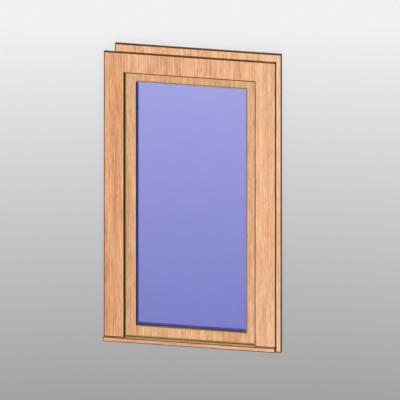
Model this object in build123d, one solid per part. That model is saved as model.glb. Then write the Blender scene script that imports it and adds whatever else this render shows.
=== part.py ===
# Timber window: one glazed sash in a rebated frame, flat boards outdoors and indoors.
# Millimetres. X runs along the wall, Y from outdoors to indoors, Z up.
# Origin: middle of the sill's flat underside, in the plane of the outer wall face.
import os
from build123d import *

# Opening and wall
opening_width = 562.0        # between the outer side boards
opening_height = 1139.0      # from the sill's flat top to the outer head board
wall_depth = 116.0           # outer wall face to inner wall face

# Boards that cover the wall joint, outdoors and indoors
board_width = 88.0
board_thickness = 19.0
inner_reveal = 5.0           # frame edge left in sight beside the inner boards
relief_depth = 3.0           # hollow on the wall side of each outer board
relief_width = 46.0
relief_inset = 12.0          # from the board's outer edge to the hollow
arris = 1.5                  # easing of the edges in sight

# Frame
jamb_thickness = 19.0
stop_projection = 16.5       # how far the frame steps in behind the sash
sill_thickness = 19.0
sill_nose = 8.0              # past the face of the outer boards
sill_horn = 1.0              # past the ends of the outer boards
sill_fall = 0.8              # drop of the sill's top from wall face to nose
sill_stop_height = 37.0
housing_depth = 6.0          # how far the head is let into the side members
drip_width = 4.0
drip_depth = 4.0
drip_setback = 7.0           # from the nose to the drip groove

# Sash
sash_setback = 6.0           # sash face behind the outer wall face
sash_thickness = 44.0
sash_clearance = 1.5         # open joint between sash and frame
stile_width = 41.5
top_rail_height = 38.5
bottom_rail_height = 50.5
sight_fall = 2.0             # drop of the bottom rail's sight edge, to shed water
throat_width = 4.0           # drip groove under the sash
throat_depth = 3.0
throat_setback = 8.0         # from the sash face to the drip groove
lip_thickness = 10.0         # timber in front of the glass
rebate_width = 14.0          # cover of the glass edge
tenon_thickness = 14.0
tenon_outer_shoulder = 8.0   # timber left between a tenon and the sash's outer edge
tenon_inner_shoulder = 2.0   # timber left between a tenon and the rebate
joint_clearance = 0.2
bead_chamfer = 4.0

# Glass and seals
pane_thickness = 4.0
cavity = 12.0
glass_clearance = 3.0        # round the sides and top of the glass
block_height = 4.0
block_length = 100.0
spacer_height = 12.0
outer_gasket = 3.0
inner_gasket = 2.0
gasket_sight = 3.0           # gasket in sight past the timber
gasket_round = 0.8
seal_thickness = 2.0
seal_width = 8.0
seal_round = 0.9

# Levels and half widths worked out from the sizes above
half_opening = opening_width / 2
half_frame = half_opening + jamb_thickness
half_outside = half_opening + board_width
half_sill = half_outside + sill_horn
half_stop = half_opening - stop_projection
half_inner_opening = half_stop + inner_reveal
half_inside = half_inner_opening + board_width
half_sash = half_opening - sash_clearance
half_sight = half_sash - stile_width
half_rebate = half_sight + rebate_width
half_glass = half_rebate - glass_clearance

sill_top = sill_thickness
head_level = sill_top + opening_height
frame_top = head_level + jamb_thickness
outside_top = head_level + board_width
head_stop_level = head_level - stop_projection
sill_stop_top = sill_top + sill_stop_height
inner_head_level = head_stop_level + inner_reveal
inner_bottom_level = sill_stop_top - inner_reveal
inside_bottom = inner_bottom_level - board_width
sash_bottom = sill_top + sash_clearance
sash_top = head_level - sash_clearance
sight_bottom = sash_bottom + bottom_rail_height
sight_top = sash_top - top_rail_height
rebate_bottom = sight_bottom - rebate_width
rebate_top = sight_top + rebate_width
glass_bottom = rebate_bottom + block_height
glass_top = rebate_top - glass_clearance

board_face = -board_thickness
nose_face = board_face - sill_nose
inside_face = wall_depth + board_thickness
sash_face = sash_setback
sash_back = sash_face + sash_thickness
stop_face = sash_back + seal_thickness
lip_back = sash_face + lip_thickness
glass_face = lip_back + outer_gasket
cavity_face = glass_face + pane_thickness
inner_pane_face = cavity_face + cavity
glass_back = inner_pane_face + pane_thickness
bead_face = glass_back + inner_gasket
tenon_face = (lip_back + sash_back - tenon_thickness) / 2
tenon_back = tenon_face + tenon_thickness

parts = {}


def upright(points, low, high):
    """Extrude a plan outline, given as X and Y, from one level to another."""
    outline = Pos(0, 0, low) * Polygon(*points, align=None)
    return extrude(outline, amount=high - low, dir=(0, 0, 1))


def crosswise(points, left, right):
    """Extrude a section, given as Y and Z, along the wall."""
    section = Plane.YZ.offset(left) * Polygon(*points, align=None)
    return extrude(section, amount=right - left, dir=(1, 0, 0))


def inward(points, front, back):
    """Extrude a face outline, given as X and Z, from outdoors to indoors."""
    outline = Plane.XZ.offset(-front) * Polygon(*points, align=None)
    return extrude(outline, amount=back - front, dir=(0, 1, 0))


def slab(left, right, front, back, low, high):
    """A square-edged piece between six planes."""
    plan = [(left, front), (right, front), (right, back), (left, back)]
    return upright(plan, low, high)


def ease(piece, side, radius):
    """Round the long edges of a board on the face in sight, outdoor or indoor."""
    face = piece.faces().sort_by(Axis.Y)[0 if side == "outdoor" else -1]
    edges = face.edges().sort_by(SortBy.LENGTH)[-2:]
    return fillet(edges, radius)


def pair(name, piece):
    """Keep a piece made for the left side and its mirror image on the right."""
    parts[name + "_left"] = piece
    parts[name + "_right"] = mirror(piece, about=Plane.YZ)


def sill_level(depth):
    """Level of the sill's top at a depth in front of the wall face."""
    return sill_top + sill_fall * depth / -nose_face


def outer_boards():
    foot = [(board_face, sill_level(board_face)), (0, sill_top), (0, outside_top), (board_face, outside_top)]
    leg = ease(crosswise(foot, -half_outside, -half_opening), "outdoor", arris)
    hollow = -half_outside + relief_inset
    leg -= slab(hollow, hollow + relief_width, -relief_depth, 0, 0, outside_top)
    pair("exterior_casing", leg)
    head = slab(-half_opening, half_opening, board_face, 0, head_level, outside_top)
    head = ease(head, "outdoor", arris)
    hollow = outside_top - relief_inset
    head -= slab(-half_opening, half_opening, -relief_depth, 0, hollow - relief_width, hollow)
    parts["exterior_casing_head"] = head


def sill():
    section = [
        (nose_face, 0),
        (wall_depth, 0),
        (wall_depth, sill_top),
        (0, sill_top),
        (nose_face, sill_level(nose_face)),
    ]
    board = crosswise(section, -half_sill, half_sill)
    nose = board.faces().sort_by(Axis.Y)[0]
    board = fillet(nose.edges().sort_by(SortBy.LENGTH)[-2:], arris)
    groove = nose_face + drip_setback
    board -= slab(-half_sill, half_sill, groove, groove + drip_width, 0, drip_depth)
    for left, right in ((-half_sill, -half_frame), (half_frame, half_sill)):
        board -= slab(left, right, 0, wall_depth, 0, sill_top)
    parts["sill"] = board


def frame():
    plan = [
        (-half_frame, 0),
        (-half_opening, 0),
        (-half_opening, stop_face),
        (-half_stop, stop_face),
        (-half_stop, wall_depth),
        (-half_frame, wall_depth),
    ]
    half_head = half_opening + housing_depth
    head = slab(-half_head, half_head, 0, wall_depth, head_level, frame_top)
    pair("jamb", upright(plan, sill_top, frame_top) - head)
    head += slab(-half_stop, half_stop, stop_face, wall_depth, head_stop_level, head_level)
    parts["head_jamb"] = head
    step = slab(-half_stop, half_stop, stop_face, wall_depth, sill_top, sill_stop_top)
    parts["sill_stop"] = step


def inner_boards():
    leg = slab(-half_inside, -half_inner_opening, wall_depth, inside_face, inside_bottom, outside_top)
    pair("interior_casing", ease(leg, "indoor", arris))
    levels = {"head": (inner_head_level, outside_top), "bottom": (inside_bottom, inner_bottom_level)}
    for place, (low, high) in levels.items():
        board = slab(-half_inner_opening, half_inner_opening, wall_depth, inside_face, low, high)
        parts["interior_casing_" + place] = ease(board, "indoor", arris)


def tenon(low, high, gap):
    """A bar through both stiles, grown by a gap where it stands for a mortise."""
    return slab(-half_sash, half_sash, tenon_face - gap, tenon_back + gap, low - gap, high + gap)


def throat():
    """The drip groove across the underside of the sash."""
    front = sash_face + throat_setback
    return slab(-half_sash, half_sash, front, front + throat_width, sash_bottom, sash_bottom + throat_depth)


def rail(edge, sight, rebate, tenon_levels, fall):
    """A sash rail from its outer edge to its sight edge, shouldered to the stiles at each end."""
    section = [
        (sash_face, edge),
        (sash_back, edge),
        (sash_back, rebate),
        (lip_back, rebate),
        (lip_back, sight),
        (sash_face, sight - fall),
    ]
    bar = crosswise(section, -half_rebate, half_rebate)
    low, high = sorted((edge, sight))
    for left, right in ((-half_rebate, -half_sight), (half_sight, half_rebate)):
        bar -= slab(left, right, sash_face, lip_back, low, high)
    middle = (0, sash_face, sight - fall)
    bar = fillet(bar.edges().sort_by_distance(middle)[0], arris)
    return bar + tenon(*tenon_levels, 0)


def sash():
    top_tenon = (rebate_top + tenon_inner_shoulder, sash_top - tenon_outer_shoulder)
    bottom_tenon = (sash_bottom + tenon_outer_shoulder, rebate_bottom - tenon_inner_shoulder)
    parts["sash_top_rail"] = rail(sash_top, sight_top, rebate_top, top_tenon, 0)
    bottom_rail = rail(sash_bottom, sight_bottom, rebate_bottom, bottom_tenon, sight_fall)
    parts["sash_bottom_rail"] = bottom_rail - throat()
    plan = [
        (-half_sash, sash_face),
        (-half_sight, sash_face),
        (-half_sight, lip_back),
        (-half_rebate, lip_back),
        (-half_rebate, sash_back),
        (-half_sash, sash_back),
    ]
    stile = upright(plan, sash_bottom, sash_top)
    middle = (-half_sight, sash_face, (sash_bottom + sash_top) / 2)
    stile = fillet(stile.edges().sort_by_distance(middle)[0], arris)
    for levels in (top_tenon, bottom_tenon):
        stile -= tenon(*levels, joint_clearance)
    pair("sash_stile", stile - throat())


def glazing():
    panes = {"outer": glass_face, "inner": inner_pane_face}
    for side, face in panes.items():
        pane = slab(-half_glass, half_glass, face, face + pane_thickness, glass_bottom, glass_top)
        parts[side + "_pane"] = pane
    bars("spacer", cavity_face, inner_pane_face, half_glass - spacer_height,
         glass_bottom + spacer_height, glass_top - spacer_height, 0)
    middle = -half_glass / 2
    block = slab(middle - block_length / 2, middle + block_length / 2,
                 glass_face, glass_back, rebate_bottom, glass_bottom)
    pair("setting_block", block)
    half_inside_gasket = half_sight - gasket_sight
    low = sight_bottom + gasket_sight
    high = sight_top - gasket_sight
    bars("outer_gasket", lip_back, glass_face, half_inside_gasket, low, high, gasket_round)
    bars("inner_gasket", glass_back, bead_face, half_inside_gasket, low, high, gasket_round)


def bars(name, front, back, half_inner, low, high, nose):
    """Four strips round the glass edge: two uprights, and two that fit between them."""
    upright_bar = slab(-half_glass, -half_inner, front, back, glass_bottom, glass_top)
    pair(name, rounded(upright_bar, [(-half_inner, y, (low + high) / 2) for y in (front, back)], nose))
    levels = {"top": (high, glass_top, high), "bottom": (glass_bottom, low, low)}
    for place, (bottom, top, sight) in levels.items():
        strip = slab(-half_inner, half_inner, front, back, bottom, top)
        parts[name + "_" + place] = rounded(strip, [(0, y, sight) for y in (front, back)], nose)


def rounded(piece, edge_middles, radius):
    """Round the edges that pass through the given points."""
    if radius == 0:
        return piece
    return fillet([piece.edges().sort_by_distance(point)[0] for point in edge_middles], radius)


def beads():
    uprights = [(-half_rebate, rebate_bottom), (-half_sight, sight_bottom),
                (-half_sight, sight_top), (-half_rebate, rebate_top)]
    bead = inward(uprights, bead_face, sash_back)
    edge = bead.edges().sort_by_distance((-half_sight, sash_back, (sight_bottom + sight_top) / 2))[0]
    pair("glazing_bead", chamfer(edge, bead_chamfer))
    for place, rebate, sight in (("top", rebate_top, sight_top), ("bottom", rebate_bottom, sight_bottom)):
        outline = [(-half_rebate, rebate), (half_rebate, rebate), (half_sight, sight), (-half_sight, sight)]
        bead = inward(outline, bead_face, sash_back)
        edge = bead.edges().sort_by_distance((0, sash_back, sight))[0]
        parts["glazing_bead_" + place] = chamfer(edge, bead_chamfer)


def weatherstrips():
    half_middle = (half_sash + half_stop) / 2
    low_middle = sash_bottom + half_sash - half_middle
    high_middle = sash_top - half_sash + half_middle
    reach = seal_width / 2
    strip = slab(-half_middle - reach, -half_middle + reach, sash_back, stop_face,
                 low_middle - reach, high_middle + reach)
    middle = (sash_bottom + sash_top) / 2
    pair("weatherstrip", rounded(strip, [(x, sash_back, middle) for x in
                                         (-half_middle - reach, -half_middle + reach)], seal_round))
    for place, level in (("top", high_middle), ("bottom", low_middle)):
        strip = slab(-half_middle + reach, half_middle - reach,
                     sash_back, stop_face, level - reach, level + reach)
        parts["weatherstrip_" + place] = rounded(strip, [(0, sash_back, z) for z in
                                                         (level - reach, level + reach)], seal_round)


outer_boards()
sill()
frame()
inner_boards()
sash()
glazing()
beads()
weatherstrips()

os.makedirs("parts", exist_ok=True)
for name, piece in parts.items():
    export_step(piece, f"parts/{name}.step")
    print(f"{name}: {len(piece.solids())} solid, {piece.volume / 1000:.1f} cm3")
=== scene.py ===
import math
import bpy
import bmesh
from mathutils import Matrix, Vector


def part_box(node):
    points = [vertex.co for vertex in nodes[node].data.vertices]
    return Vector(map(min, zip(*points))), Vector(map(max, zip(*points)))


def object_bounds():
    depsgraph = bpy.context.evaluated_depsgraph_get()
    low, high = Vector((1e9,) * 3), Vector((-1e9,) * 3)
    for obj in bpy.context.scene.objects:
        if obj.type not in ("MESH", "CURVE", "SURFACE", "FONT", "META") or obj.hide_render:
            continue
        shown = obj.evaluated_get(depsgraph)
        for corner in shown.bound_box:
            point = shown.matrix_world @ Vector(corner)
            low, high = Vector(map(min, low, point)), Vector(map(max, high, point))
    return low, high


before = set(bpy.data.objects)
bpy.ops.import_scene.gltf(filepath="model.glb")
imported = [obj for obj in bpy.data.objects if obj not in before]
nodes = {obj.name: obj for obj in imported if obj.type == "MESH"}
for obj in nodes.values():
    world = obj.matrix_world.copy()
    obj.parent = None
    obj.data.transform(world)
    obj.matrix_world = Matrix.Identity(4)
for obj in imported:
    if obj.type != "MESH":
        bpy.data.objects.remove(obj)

cadLow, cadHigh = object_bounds()
scene = bpy.context.scene
sides = ("left", "right", "top", "bottom")
print("frame:", len(nodes), "pieces")

# from screen values to light
screen = {"shift": 0.055, "power": 2.4, "darkEnd": 0.04, "darkSlope": 12.92}
mixColour = {"inputs": (0, 6, 7), "output": 2}   # the Mix node's sockets for colours
cloudSlip = (1.0, 0.37, 0.61)                    # an offset moves noise along this line
noiseRange = (0.3, 0.7)                          # where most of a noise lies


# colours are written as they look on a screen, 0 to 255
def paint(red, green, blue):
    light = []
    for value in (red / 255, green / 255, blue / 255):
        if value > screen["darkEnd"]:
            light.append(((value + screen["shift"]) / (1 + screen["shift"])) ** screen["power"])
        else:
            light.append(value / screen["darkSlope"])
    return (*light, 1.0)


def newFinish(name):
    finish = bpy.data.materials.new(name)
    finish.use_nodes = True
    return finish, finish.node_tree, finish.node_tree.nodes["Principled BSDF"]


def feed(tree, socket, value):                   # a number, a colour or another node's output
    if isinstance(value, bpy.types.NodeSocket):
        tree.links.new(value, socket)
    else:
        socket.default_value = value


def calc(tree, operation, *terms):
    node = tree.nodes.new("ShaderNodeMath")
    node.operation = operation
    for socket, term in zip(node.inputs, terms):
        feed(tree, socket, term)
    return node.outputs[0]


def diagonal(tree, first, second):
    squares = [calc(tree, "POWER", leg, 2.0) for leg in (first, second)]
    return calc(tree, "SQRT", calc(tree, "ADD", *squares))


def span(tree, value, low, high, newLow=0.0, newHigh=1.0, smooth=False):
    node = tree.nodes.new("ShaderNodeMapRange")
    node.interpolation_type = "SMOOTHSTEP" if smooth else "LINEAR"
    for socket, term in zip(node.inputs, (value, low, high, newLow, newHigh)):
        feed(tree, socket, term)
    return node.outputs[0]


def blendColour(tree, kind, amount, first, second):
    node = tree.nodes.new("ShaderNodeMix")
    node.data_type = "RGBA"
    node.blend_type = kind
    for socket, value in zip(mixColour["inputs"], (amount, first, second)):
        feed(tree, node.inputs[socket], value)
    return node.outputs[mixColour["output"]]


def rampOf(tree, value, stops):                  # stops: place from 0 to 1, colour
    node = tree.nodes.new("ShaderNodeValToRGB")
    elements = node.color_ramp.elements
    elements[0].position, elements[0].color = stops[0]
    elements[1].position, elements[1].color = stops[-1]
    for position, colour in stops[1:-1]:
        elements.new(position).color = colour
    feed(tree, node.inputs[0], value)
    return node.outputs[0]


def cloud(tree, place, scale, detail=2.0, offset=0.0):   # noise, stretched by its scale per metre
    mapping = tree.nodes.new("ShaderNodeMapping")
    mapping.inputs["Scale"].default_value = scale
    mapping.inputs["Location"].default_value = [offset * share for share in cloudSlip]
    tree.links.new(place, mapping.inputs["Vector"])
    noise = tree.nodes.new("ShaderNodeTexNoise")
    noise.inputs["Scale"].default_value = 1.0
    noise.inputs["Detail"].default_value = detail
    tree.links.new(mapping.outputs[0], noise.inputs["Vector"])
    return noise.outputs


def coat(tree, shader, colour, pattern, roughness, within=noiseRange):   # roughness follows the pattern
    tree.links.new(colour, shader.inputs["Base Color"])
    tree.links.new(span(tree, pattern, *within, *roughness), shader.inputs["Roughness"])


def relief(tree, shader, height, strength, depth):
    bump = tree.nodes.new("ShaderNodeBump")
    bump.inputs["Strength"].default_value = strength
    bump.inputs["Distance"].default_value = depth
    tree.links.new(height, bump.inputs["Height"])
    tree.links.new(bump.outputs[0], shader.inputs["Normal"])


def partsOf(tree, vector):                       # its x, y and z
    node = tree.nodes.new("ShaderNodeSeparateXYZ")
    tree.links.new(vector, node.inputs[0])
    return node.outputs


def objectPlace(tree):
    place = tree.nodes.new("ShaderNodeTexCoord").outputs["Object"]
    return place, partsOf(tree, place)


def dress(names, finish):
    for name in names:
        slots = nodes[name].data.materials
        slots.clear()
        slots.append(finish)


def reach(names):                                # box round several pieces
    boxes = [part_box(name) for name in names]
    low = [min(box[0][axis] for box in boxes) for axis in range(3)]
    high = [max(box[1][axis] for box in boxes) for axis in range(3)]
    return Vector(low), Vector(high)


def openingOf(right, bottom, top):               # left, right, foot and head of the hole in a frame
    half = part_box(right)[0].x
    return -half, half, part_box(bottom)[1].z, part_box(top)[0].z


# distance from the nearest edge of a frame of boards, whatever face the point is on
def edgeDistance(tree, spot, low, high, opening):
    across, depth, rise = [
        calc(tree, "MINIMUM", calc(tree, "SUBTRACT", spot[axis], low[axis]),
             calc(tree, "SUBTRACT", high[axis], spot[axis]))
        for axis in range(3)
    ]
    border = calc(tree, "MINIMUM", across, rise)
    if opening:
        outside = []
        for axis, (start, stop) in ((0, opening[:2]), (2, opening[2:])):
            off = calc(tree, "ABSOLUTE", calc(tree, "SUBTRACT", spot[axis], (start + stop) / 2))
            outside.append(calc(tree, "SUBTRACT", off, (stop - start) / 2))
        border = calc(tree, "MINIMUM", border, calc(tree, "ABSOLUTE", calc(tree, "MAXIMUM", *outside)))
    edge = calc(tree, "MAXIMUM", border, depth)
    corner = calc(tree, "MAXIMUM", across, calc(tree, "MAXIMUM", rise, 0.0))
    return calc(tree, "MINIMUM", edge, corner)


# straight-grained timber, nearly matt; noise scales are cells per metre across and along the grain
timber = {
    "shades": [
        (0.0, paint(186, 126, 86)), (0.28, paint(212, 151, 108)), (0.5, paint(228, 171, 128)),
        (0.72, paint(241, 188, 146)), (1.0, paint(253, 208, 168)),
    ],
    "wander": [{"scale": (2.4, 2.4, 0.8), "push": 0.009}, {"scale": (38, 38, 4.5), "push": 0.00126}],
    "noise": {
        "drift": {"scale": (26, 26, 0.4), "detail": 2.0, "start": 3},
        "broad": {"scale": (30, 30, 1.0), "detail": 2.0, "start": 7},
        "streak": {"scale": (105, 105, 11), "detail": 3.0, "start": 11},
        "thread": {"scale": (2100, 2100, 40), "detail": 2.0, "start": 13},
        "fleck": {"scale": (330, 330, 42), "detail": 3.0, "start": 17},
        "fibre": {"scale": (850, 850, 13), "detail": 3.0, "start": 19},
        "pores": {"scale": (1150, 1150, 30), "detail": 1.0, "start": 23},
        "hue": {"scale": (80, 80, 3.5), "detail": 2.0, "start": 29},
    },
    "pith": (-1.3, 0.55), "ringPitch": 0.0062, "ringDrift": 2.6,
    "lateRise": (0.30, 0.90), "lateFall": (0.93, 1.0), "middle": 0.5,
    "tint": {                                    # mean and weight of each field
        "broad": (0.5, 0.62), "streak": (0.5, 0.85), "fleck": (0.5, 0.70),
        "fibre": (0.5, 1.0), "thread": (0.5, 0.45), "late": (0.35, -0.18),
    },
    "rosy": (1.035, 0.965, 0.93, 1), "tan": (0.965, 1.015, 1.02, 1), "hueRange": (0.35, 0.65),
    "pore": (0.66, 0.56, 0.46, 1), "poreRange": (0.59, 0.70), "poreStrength": 0.65,
    # faces towards the wall painted paler and cooler: painted light
    "wallSidePaintedLight": (1.03, 1.21, 1.30, 1), "squareOn": (0.8, 0.97),
    "edgeLeast": 0.8, "edgeSpread": 0.4, "edgeFade": (0.6, 1.0), "stripStrength": 0.85,
    "roughness": (0.50, 0.66), "shine": 0.03,
    "bumpFibre": 0.6, "bumpLate": 0.25, "bump": 0.18, "bumpDepth": 0.0004,
    "cutStep": 2.3,
}
plainMember = {"toneAndPaintedLight": (1.0, 1.0, 1.0), "contrast": 1.0, "lengthwise": False}


# the fields of the grain: growth rings round a pith beside the window, and noise drawn out along the grain
def grainOf(tree, place, cut):
    moved = place                                # the grain wanders a little from side to side
    for wander in timber["wander"]:
        push = tree.nodes.new("ShaderNodeVectorMath")
        push.operation = "MULTIPLY_ADD"
        tree.links.new(cloud(tree, place, wander["scale"], offset=cut)["Color"], push.inputs[0])
        push.inputs[1].default_value = (wander["push"], wander["push"], 0)
        tree.links.new(moved, push.inputs[2])
        moved = push.outputs[0]
    grain = {
        kind: cloud(tree, moved, noise["scale"], noise["detail"], cut + noise["start"])[0]
        for kind, noise in timber["noise"].items()
    }
    bent = partsOf(tree, moved)
    legs = [calc(tree, "SUBTRACT", bent[axis], timber["pith"][axis]) for axis in (0, 1)]
    rings = calc(tree, "DIVIDE", diagonal(tree, *legs), timber["ringPitch"])
    ring = calc(tree, "FRACT", calc(tree, "MULTIPLY_ADD", grain["drift"], timber["ringDrift"], rings))
    rise = span(tree, ring, *timber["lateRise"], smooth=True)
    fall = span(tree, ring, *timber["lateFall"], 1.0, 0.0, smooth=True)
    grain["late"] = calc(tree, "MULTIPLY", rise, fall)
    grain["pores"] = span(tree, grain["pores"], *timber["poreRange"], smooth=True)
    return grain


def grainColour(tree, grain, board):
    tint = timber["middle"]
    for kind, (mean, weight) in timber["tint"].items():
        off = calc(tree, "SUBTRACT", grain[kind], mean)
        tint = calc(tree, "MULTIPLY_ADD", off, weight * board["contrast"], tint)
    colour = rampOf(tree, tint, timber["shades"])
    hue = span(tree, grain["hue"], *timber["hueRange"])
    warmth = blendColour(tree, "MIX", hue, timber["rosy"], timber["tan"])
    colour = blendColour(tree, "MULTIPLY", 1.0, colour, warmth)
    dark = calc(tree, "MULTIPLY", grain["pores"], timber["poreStrength"])
    colour = blendColour(tree, "MULTIPLY", dark, colour, timber["pore"])
    return blendColour(tree, "MULTIPLY", 1.0, colour, (*board["toneAndPaintedLight"], 1))


def timberFinish(name, board, low, high, opening):
    finish, tree, shader = newFinish(name)
    place, spot = objectPlace(tree)
    if board["lengthwise"]:                      # grain along the wall
        turned = tree.nodes.new("ShaderNodeCombineXYZ")
        for socket, axis in zip(turned.inputs, (2, 1, 0)):
            tree.links.new(spot[axis], socket)
        place = turned.outputs[0]
    grain = grainOf(tree, place, board["cut"])
    colour = grainColour(tree, grain, board)

    facing = partsOf(tree, tree.nodes.new("ShaderNodeNewGeometry").outputs["Normal"])
    inward = calc(tree, "LESS_THAN", calc(tree, "MULTIPLY", facing[0], spot[0]), 0.0)
    side = (*board["sidePaintedShade"], 1)              # narrow side faces painted darker: painted shade
    if "revealPaintedShade" in board:                   # and a near-black olive painted shade on the faces towards the opening
        side = blendColour(tree, "MIX", inward, side, (*board["revealPaintedShade"], 1))
    # side faces, and top and bottom faces, are darkened by the way they face: painted shade; on the sill
    # the top and bottom are made paler: painted light
    for axis, paintedFaceLight in ((0, side), (2, (*board["topBottomPaintedLight"], 1))):
        narrow = span(tree, calc(tree, "ABSOLUTE", facing[axis]), *timber["squareOn"])
        colour = blendColour(tree, "MULTIPLY", narrow, colour, paintedFaceLight)
    if "wallFace" in board:                      # faces towards the wall painted paler and cooler: painted light
        wallSidePaintedLight = span(tree, calc(tree, "MULTIPLY", facing[1], board["wallFace"]), *timber["squareOn"])
        colour = blendColour(tree, "MULTIPLY", wallSidePaintedLight, colour, timber["wallSidePaintedLight"])

    width = calc(tree, "MULTIPLY_ADD", grain["broad"], board["edgeWidth"] * timber["edgeSpread"],
                 board["edgeWidth"] * timber["edgeLeast"])
    near = calc(tree, "DIVIDE", edgeDistance(tree, spot, low, high, opening), width)
    line = span(tree, near, *timber["edgeFade"], board["edgeStrength"], 0.0, smooth=True)
    colour = blendColour(tree, "MIX", line, colour, board["edge"])
    if "joint" in board:                         # a strip where the sash closes: a dark band on the sill, painted shade, and an olive band on the frame
        strip = span(tree, spot[1], *board["joint"], 0.0, timber["stripStrength"], smooth=True)
        if opening:
            strip = calc(tree, "MULTIPLY", strip, inward)
        colour = blendColour(tree, "MIX", strip, colour, board["jointShade"])

    coat(tree, shader, colour, grain["fibre"], timber["roughness"])
    late = calc(tree, "MULTIPLY", grain["late"], timber["bumpLate"])
    height = calc(tree, "MULTIPLY_ADD", grain["fibre"], timber["bumpFibre"], late)
    height = calc(tree, "SUBTRACT", height, grain["pores"])
    relief(tree, shader, height, timber["bump"], timber["bumpDepth"])
    shader.inputs["Specular IOR Level"].default_value = timber["shine"]
    return finish


# every member has a tone, partly its own colour and partly painted light (paler and cooler on the
# right-hand members), a contrast and a cut of the grain of its own
def dressMembers(board, low, high, opening=None):
    for count, (name, member) in enumerate(board["members"].items()):
        cut = board["cut"] + count * timber["cutStep"]
        whole = {**plainMember, **board, **member, "cut": cut}
        dress([name], timberFinish(name.replace("_", " ") + " timber", whole, low, high, opening))


outerBoards = {
    "members": {
        # the right-hand casing painted paler and cooler, the left one warmer: painted light
        "exterior_casing_left": {"toneAndPaintedLight": (0.98, 0.945, 0.91), "contrast": 0.95},
        "exterior_casing_right": {"toneAndPaintedLight": (1.115, 1.195, 1.27), "contrast": 0.84},
        "exterior_casing_head": {"toneAndPaintedLight": (1.015, 1.035, 1.06), "contrast": 1.05},
    },
    # paler, cooler faces towards the wall: painted light
    "cut": 0.0, "wallFace": 1, "openBelow": 1.0,
    # side faces and top and bottom faces painted nearly black, and the faces towards the opening
    # near-black olive: painted shade
    "sidePaintedShade": (0.10, 0.05, 0.028), "revealPaintedShade": (0.03, 0.08, 0.012), "topBottomPaintedLight": (0.16, 0.12, 0.09),
    "edge": paint(50, 27, 12), "edgeWidth": 0.0046, "edgeStrength": 0.95, "rightShift": 0.0022,
}
low, high = reach(outerBoards["members"])
high.x += outerBoards["rightShift"]              # a thinner line along the right edge
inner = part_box("exterior_casing_right")[0].x
foot = low.z - outerBoards["openBelow"]          # no board along the foot
opening = (-inner, inner, foot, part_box("exterior_casing_head")[0].z)
dressMembers(outerBoards, low, high, opening)

sillBoard = {
    "members": {"sill": {"toneAndPaintedLight": (1.05, 1.11, 1.18), "lengthwise": True}},
    "cut": 1.7, "noseDrop": 0.0006,
    # side faces painted darker: painted shade; top and bottom painted paler and cooler: painted light
    "sidePaintedShade": (0.20, 0.15, 0.11), "topBottomPaintedLight": (1.16, 1.36, 1.52),
    "edge": paint(58, 31, 15), "edgeWidth": 0.0034, "edgeStrength": 0.95,
    # a dark band on the sill top along the sash: painted shade
    "joint": (-0.002, 0.002), "jointShade": paint(58, 31, 15),
}
low, high = reach(sillBoard["members"])
high.z -= sillBoard["noseDrop"]                  # the top falls towards the nose
dressMembers(sillBoard, low, high)

frameMembers = {
    "members": {
        "jamb_left": {"toneAndPaintedLight": (0.98, 0.99, 1.0)},
        "jamb_right": {"toneAndPaintedLight": (1.0, 1.02, 1.04)},
        "head_jamb": {"toneAndPaintedLight": (0.99, 1.0, 1.01), "lengthwise": True},
        # its top and bottom painted darker: painted shade
        "sill_stop": {"toneAndPaintedLight": (0.99, 1.0, 1.01), "lengthwise": True, "topBottomPaintedLight": (0.52, 0.54, 0.58)},
    },
    # side, top and bottom faces painted a little darker: painted shade
    "cut": 3.1, "sidePaintedShade": (0.92, 0.90, 0.88), "topBottomPaintedLight": (0.90, 0.88, 0.86),
    "edge": paint(92, 62, 36), "edgeWidth": 0.0022, "edgeStrength": 0.6,
    "joint": (0.009, 0.006), "jointShade": paint(196, 214, 122),
}
low, high = reach(frameMembers["members"])
dressMembers(frameMembers, low, high, openingOf("jamb_right", "sill_stop", "head_jamb"))

innerBoards = {
    "members": {
        # the right-hand casing painted paler and cooler, against the outer casing's shade on it: painted
        # light
        "interior_casing_left": {"toneAndPaintedLight": (1.0, 0.99, 0.98)},
        "interior_casing_right": {"toneAndPaintedLight": (1.01, 1.115, 1.235), "contrast": 0.65},
        "interior_casing_head": {"toneAndPaintedLight": (0.97, 1.0, 1.05), "contrast": 1.25},
        "interior_casing_bottom": {},
    },
    # side faces and top and bottom faces painted nearly black: painted shade; faces towards the wall
    # painted paler and cooler: painted light
    "cut": 5.3, "wallFace": -1, "sidePaintedShade": (0.10, 0.06, 0.035), "topBottomPaintedLight": (0.16, 0.12, 0.09),
    "edge": paint(52, 28, 13), "edgeWidth": 0.0046, "edgeStrength": 0.95, "rightShift": 0.0022,
}
low, high = reach(innerBoards["members"])
high.x += innerBoards["rightShift"]
opening = openingOf("interior_casing_right", "interior_casing_bottom", "interior_casing_head")
dressMembers(innerBoards, low, high, opening)

sashMembers = {
    "members": {
        # the right-hand stile painted paler and cooler: painted light
        "sash_stile_left": {"toneAndPaintedLight": (1.015, 1.09, 1.13)},
        "sash_stile_right": {"toneAndPaintedLight": (1.09, 1.18, 1.32), "contrast": 0.9},
        "sash_top_rail": {"toneAndPaintedLight": (0.98, 1.035, 1.04)},
        "sash_bottom_rail": {"toneAndPaintedLight": (1.01, 1.11, 1.13)},
    },
    # dark bluish side faces and darker top and bottom faces: painted shade
    "cut": 7.9, "sidePaintedShade": (0.10, 0.12, 0.20), "topBottomPaintedLight": (0.30, 0.28, 0.26),
    "edge": paint(134, 127, 58), "edgeWidth": 0.0066, "edgeStrength": 0.85,
    "leftEdge": 0.0055, "leftSight": 0.0085,     # a thin line on the left, and none beside the glass there
}
low, high = reach(sashMembers["members"])
low.x -= sashMembers["leftEdge"]
sight = openingOf("glazing_bead_right", "glazing_bead_bottom", "glazing_bead_top")
dressMembers(sashMembers, low, high, (sight[0] + sashMembers["leftSight"], *sight[1:]))

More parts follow.
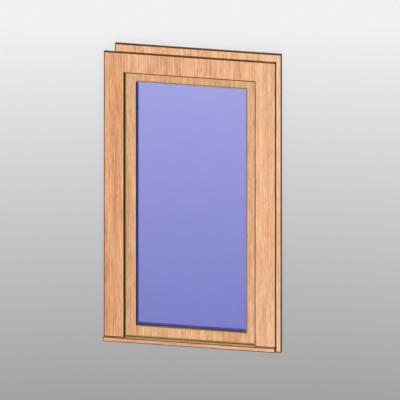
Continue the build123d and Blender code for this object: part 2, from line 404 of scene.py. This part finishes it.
beadStrips = {
    "members": {"glazing_bead_" + side: {"lengthwise": side in ("top", "bottom")} for side in sides},
    # darker side faces and very dark top and bottom faces: painted shade
    "cut": 9.4, "sidePaintedShade": (0.45, 0.42, 0.40), "topBottomPaintedLight": (0.12, 0.14, 0.18),
    "edge": paint(66, 46, 32), "edgeWidth": 0.0026, "edgeStrength": 0.8,
}
low, high = reach(beadStrips["members"])
dressMembers(beadStrips, low, high, sight)
print("timber: a finish for each member")


# the outer pane is a thin blue veil, the inner one nearly clear glass
panes = {
    "outer_pane": {
        "tint": paint(40, 68, 255), "roughness": (0.05, 0.08), "alpha": 0.24, "clear": 0.0, "ior": 1.45,
    },
    "inner_pane": {
        "tint": paint(249, 246, 255), "roughness": (0.01, 0.04), "alpha": 1.0, "clear": 1.0, "ior": 1.25,
    },
}
film = {
    "scale": (3, 3, 3), "faint": 0.96,
    "smearScale": (16, 16, 5), "smearDetail": 3.0, "smearRange": (0.35, 0.75),
}
for name, glass in panes.items():
    finish, tree, shader = newFinish(name.replace("_", " ") + " glass")
    place, spot = objectPlace(tree)
    faint = (*[channel * film["faint"] for channel in glass["tint"][:3]], 1)
    colour = blendColour(tree, "MIX", cloud(tree, place, film["scale"])[0], faint, glass["tint"])
    smear = cloud(tree, place, film["smearScale"], film["smearDetail"])[0]
    coat(tree, shader, colour, smear, glass["roughness"], film["smearRange"])
    shader.inputs["Transmission Weight"].default_value = glass["clear"]
    shader.inputs["Alpha"].default_value = glass["alpha"]
    shader.inputs["IOR"].default_value = glass["ior"]
    dress([name], finish)
print("glass: two panes")


# blue-black rubber seals, dusty in places
rubber = {
    "seals": ("outer_gasket_", "inner_gasket_", "weatherstrip_"),
    "colour": paint(22, 34, 48), "dust": paint(46, 56, 66), "roughness": (0.5, 0.75),
    "dustScale": (60, 60, 60), "dustDetail": 4.0, "dustRange": (0.45, 0.8),
    "pitScale": (900, 900, 900), "bump": 0.15, "bumpDepth": 0.0002,
}
finish, tree, shader = newFinish("gasket rubber")
place, spot = objectPlace(tree)
dust = cloud(tree, place, rubber["dustScale"], rubber["dustDetail"])[0]
dusty = span(tree, dust, *rubber["dustRange"])
colour = blendColour(tree, "MIX", dusty, rubber["colour"], rubber["dust"])
coat(tree, shader, colour, dust, rubber["roughness"])
relief(tree, shader, cloud(tree, place, rubber["pitScale"])[0], rubber["bump"], rubber["bumpDepth"])
dress([seal + side for seal in rubber["seals"] for side in sides], finish)

# satin spacer bars with a row of breather holes along the middle
spacerBar = {
    "runs": {
        "upright": {"sides": ("left", "right"), "axis": 2, "scale": (700, 700, 12)},
        "cross": {"sides": ("top", "bottom"), "axis": 0, "scale": (12, 700, 700)},
    },
    "colour": paint(48, 58, 69), "brushed": paint(75, 85, 97), "detail": 3.0, "roughness": (0.3, 0.45),
    "hole": paint(16, 17, 20), "pitch": 0.006, "holeEdge": (0.00064, 0.00096),
    "bumpLines": 0.2, "bump": 0.3, "bumpDepth": 0.0003, "metal": 0.5,
}
low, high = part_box("spacer_left")
for direction, run in spacerBar["runs"].items():
    finish, tree, shader = newFinish("spacer bar " + direction)
    place, spot = objectPlace(tree)
    lines = cloud(tree, place, run["scale"], spacerBar["detail"])[0]
    colour = blendColour(tree, "MIX", lines, spacerBar["colour"], spacerBar["brushed"])
    step = calc(tree, "FRACT", calc(tree, "DIVIDE", spot[run["axis"]], spacerBar["pitch"]))
    step = calc(tree, "MULTIPLY", calc(tree, "SUBTRACT", step, 0.5), spacerBar["pitch"])
    off = calc(tree, "SUBTRACT", spot[1], (low.y + high.y) / 2)
    hole = span(tree, diagonal(tree, step, off), *spacerBar["holeEdge"], 1.0, 0.0)
    colour = blendColour(tree, "MIX", hole, colour, spacerBar["hole"])
    coat(tree, shader, colour, lines, spacerBar["roughness"])
    height = calc(tree, "SUBTRACT", calc(tree, "MULTIPLY", lines, spacerBar["bumpLines"]), hole)
    relief(tree, shader, height, spacerBar["bump"], spacerBar["bumpDepth"])
    shader.inputs["Metallic"].default_value = spacerBar["metal"]
    dress(["spacer_" + side for side in run["sides"]], finish)

settingBlock = {
    "colour": paint(58, 60, 62), "pale": paint(76, 78, 80), "roughness": (0.5, 0.7),
    "scale": (220, 220, 220), "detail": 3.0,
}
finish, tree, shader = newFinish("setting block plastic")
place, spot = objectPlace(tree)
mottle = cloud(tree, place, settingBlock["scale"], settingBlock["detail"])[0]
colour = blendColour(tree, "MIX", mottle, settingBlock["colour"], settingBlock["pale"])
coat(tree, shader, colour, mottle, settingBlock["roughness"])
dress(["setting_block_left", "setting_block_right"], finish)
print("seals, spacer and blocks")


# studio floor at the room's floor level, greyer near the window and paler far away
studio = {
    "level": -0.9, "half": 40.0, "squares": 8, "near": 2.48, "nearGrey": 0.6325, "risePerMetre": 0.0522,
    "darkest": 0.60, "palest": 0.95, "lit": 1.165,
}
plane = bmesh.new()
squares = studio["squares"]
bmesh.ops.create_grid(plane, x_segments=squares, y_segments=squares, size=studio["half"])
bmesh.ops.translate(plane, verts=plane.verts, vec=(0, 0, studio["level"]))
mesh = bpy.data.meshes.new("studio_floor")
plane.to_mesh(mesh)
plane.free()
floor = bpy.data.objects.new("studio_floor", mesh)
scene.collection.objects.link(floor)
finish, tree, shader = newFinish("studio floor")
place, spot = objectPlace(tree)
away = calc(tree, "SUBTRACT", diagonal(tree, spot[0], spot[1]), studio["near"])
grey = calc(tree, "MULTIPLY_ADD", away, studio["risePerMetre"], studio["nearGrey"])
grey = calc(tree, "MINIMUM", calc(tree, "MAXIMUM", grey, studio["darkest"]), studio["palest"])
bright = calc(tree, "DIVIDE", calc(tree, "ADD", grey, screen["shift"]), 1 + screen["shift"])
bright = calc(tree, "DIVIDE", calc(tree, "POWER", bright, screen["power"]), studio["lit"])
mix = tree.nodes.new("ShaderNodeCombineColor")
for socket in mix.inputs:
    tree.links.new(bright, socket)
tree.links.new(mix.outputs[0], shader.inputs["Base Color"])
shader.inputs["Roughness"].default_value = 1.0
shader.inputs["Specular IOR Level"].default_value = 0.0
mesh.materials.append(finish)

# the air lights the window softly, and is brighter where it is seen or reflected
air = {"light": 0.22, "seen": 0.86}
world = bpy.data.worlds.new("studio air")
scene.world = world
world.use_nodes = True
tree = world.node_tree
backdrop = tree.nodes["Background"]
path = tree.nodes.new("ShaderNodeLightPath").outputs
seen = calc(tree, "MAXIMUM", path["Is Glossy Ray"], path["Is Transmission Ray"])
seen = calc(tree, "MAXIMUM", path["Is Camera Ray"], seen)
tree.links.new(span(tree, seen, 0.0, 1.0, air["light"], air["seen"]), backdrop.inputs["Strength"])
backdrop.inputs["Color"].default_value = (1, 1, 1, 1)


def towards(azimuth, elevation):
    a, e = math.radians(azimuth), math.radians(elevation)
    return Vector((math.sin(a) * math.cos(e), -math.cos(a) * math.cos(e), math.sin(e)))


# the main light stands by the camera, as in the photograph; others serve the sides and the back
lamps = {
    "main light": {"azimuth": 15, "elevation": 15, "strength": 2.15, "spread": 0.5},
    "back light": {"azimuth": -130, "elevation": 35, "strength": 2.6, "spread": 12},
    "left light": {"azimuth": -100, "elevation": 20, "strength": 1.0, "spread": 20},
    "right light": {"azimuth": 100, "elevation": 20, "strength": 1.6, "spread": 20},
}
lampDistance = 4.0
middle = (cadLow + cadHigh) / 2
for name, lamp in lamps.items():
    light = bpy.data.lights.new(name, "SUN")
    light.energy = lamp["strength"]
    light.angle = math.radians(lamp["spread"])
    holder = bpy.data.objects.new(name, light)
    direction = towards(lamp["azimuth"], lamp["elevation"])
    holder.rotation_mode = "QUATERNION"
    holder.rotation_quaternion = direction.to_track_quat("Z", "Y")
    holder.location = middle + direction * lampDistance
    scene.collection.objects.link(holder)
print("floor, air and lamps")

# the photograph is a parallel view, aimed from the middle of the sill
shot = {
    "azimuth": 15, "elevation": 15, "pixel": 0.00416, "pixels": 400, "across": 9.37, "up": 140.95,
    "distance": 4.0, "clipEnd": 100,
}
back = towards(shot["azimuth"], shot["elevation"])
right = towards(shot["azimuth"] + 90, 0)
up = back.cross(right)
sillMiddle = Vector((0, 0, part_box("sill")[1].z))
aim = sillMiddle + (right * shot["across"] + up * shot["up"]) * shot["pixel"]
lens = bpy.data.cameras.new("photograph")
lens.type = "ORTHO"
lens.ortho_scale = shot["pixels"] * shot["pixel"]
lens.clip_end = shot["clipEnd"]
camera = bpy.data.objects.new("photograph", lens)
camera.rotation_mode = "QUATERNION"
camera.rotation_quaternion = back.to_track_quat("Z", "Y")
camera.location = aim + back * shot["distance"]
scene.collection.objects.link(camera)
scene.camera = camera
scene.view_settings.view_transform = "Standard"
print("camera")
